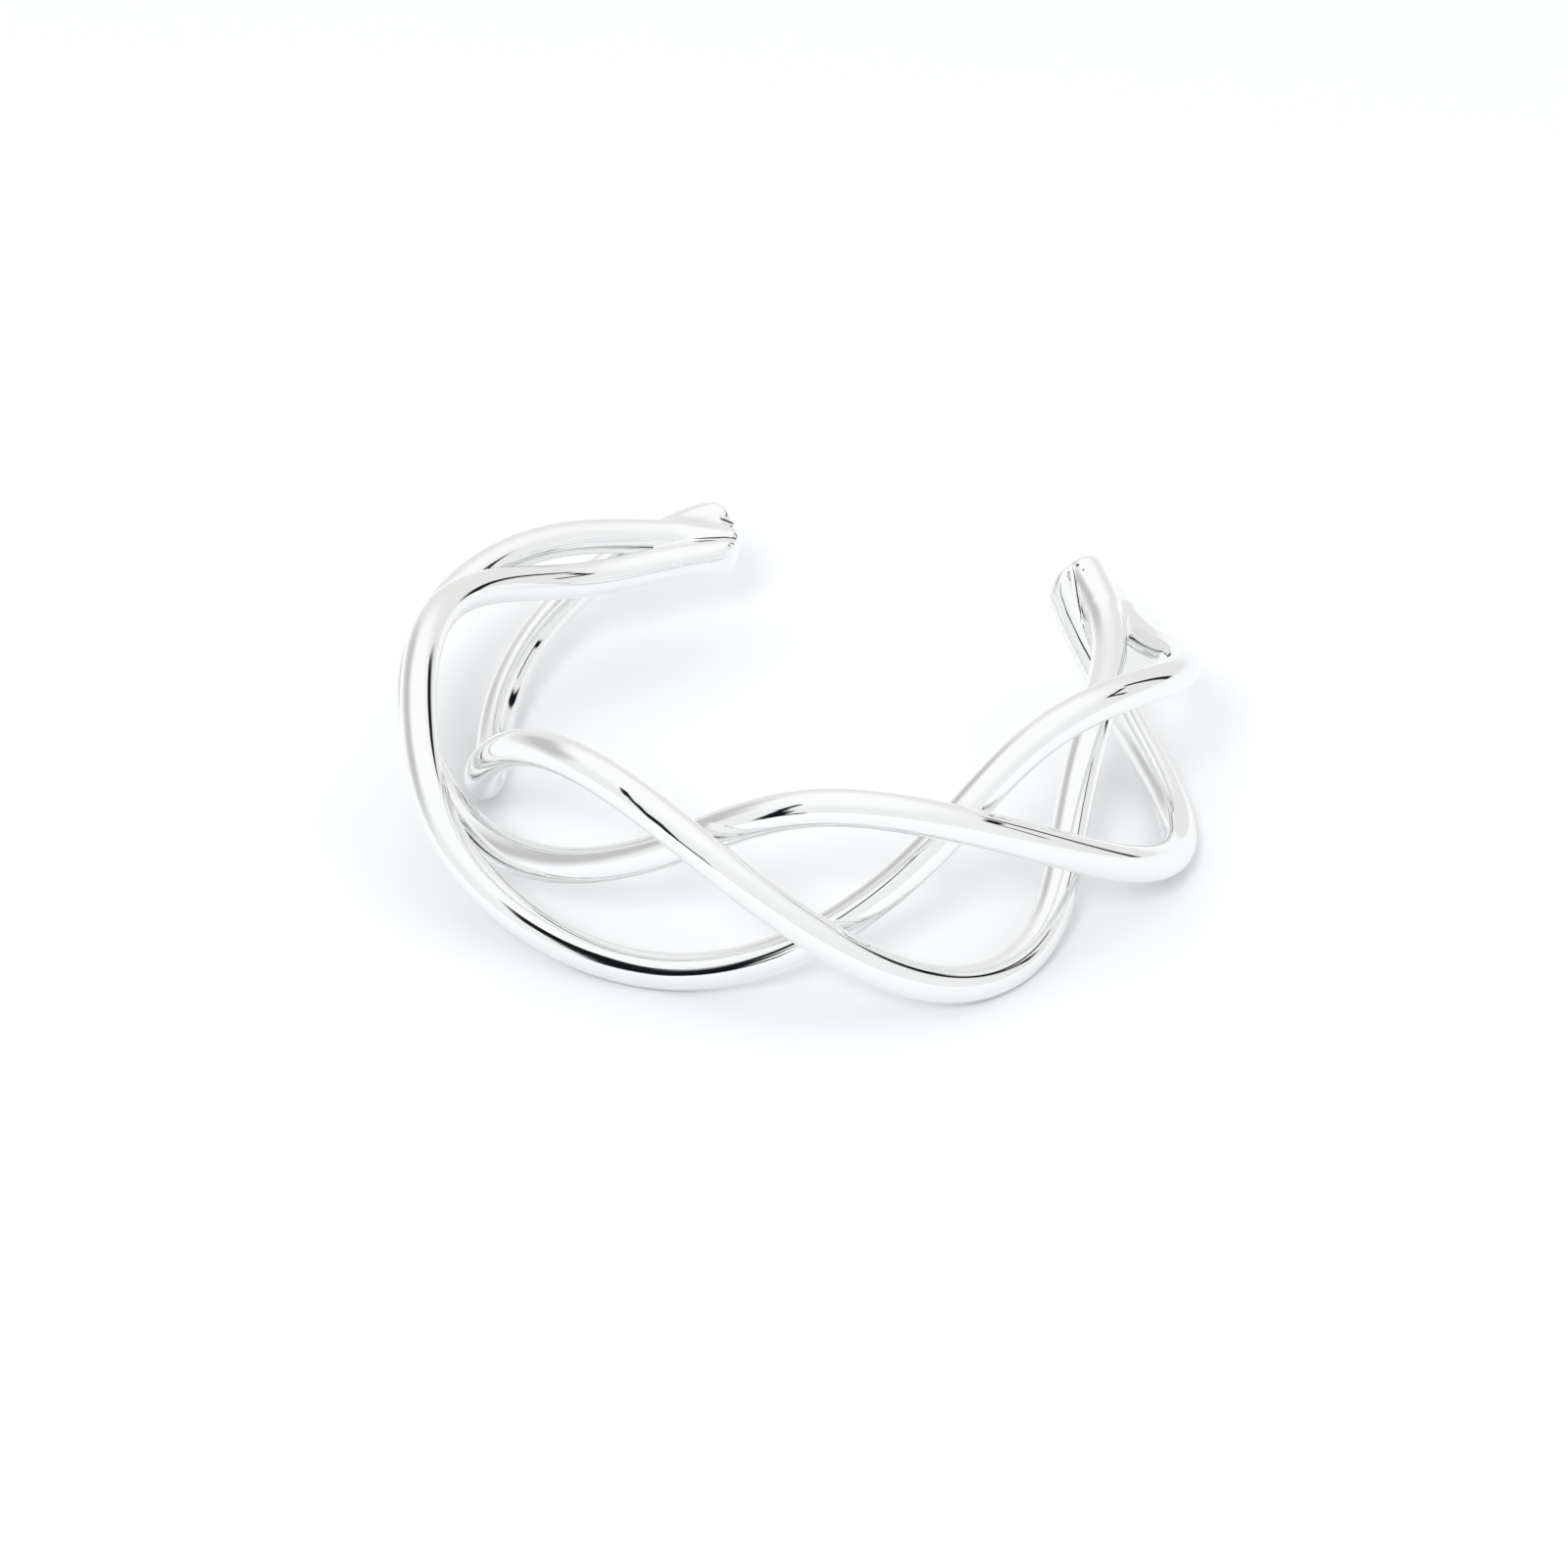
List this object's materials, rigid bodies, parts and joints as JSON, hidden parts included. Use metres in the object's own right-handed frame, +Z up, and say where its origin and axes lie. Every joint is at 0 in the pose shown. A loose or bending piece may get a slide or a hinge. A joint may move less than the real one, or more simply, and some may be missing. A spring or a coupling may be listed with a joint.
{
  "type": "twisted bangle",
  "caption": "Open cuff bangle of loosely plaited round silver wires, soldered together and filed round at both ends; it lies on its side.",
  "frame": {"origin": "centre of the bounding box in X and Y, at the height of the lowest crests, on which the cuff lies", "axes": "+Z up, along the wrist when worn; the mouth opens toward +Y; +X to the right seen from the closed front"},
  "size_m": [0.0676, 0.0612, 0.0213],
  "materials": {
    "silver": "mirror-polished sterling silver",
    "soldered_silver": "polished sterling silver and silver solder, slightly softer than the wire"
  },
  "bodies": {
    "root": {"strand_one": "silver", "strand_two": "silver", "strand_three": "silver", "end_left": "soldered_silver", "end_right": "soldered_silver"}
  },
  "joints": []
}
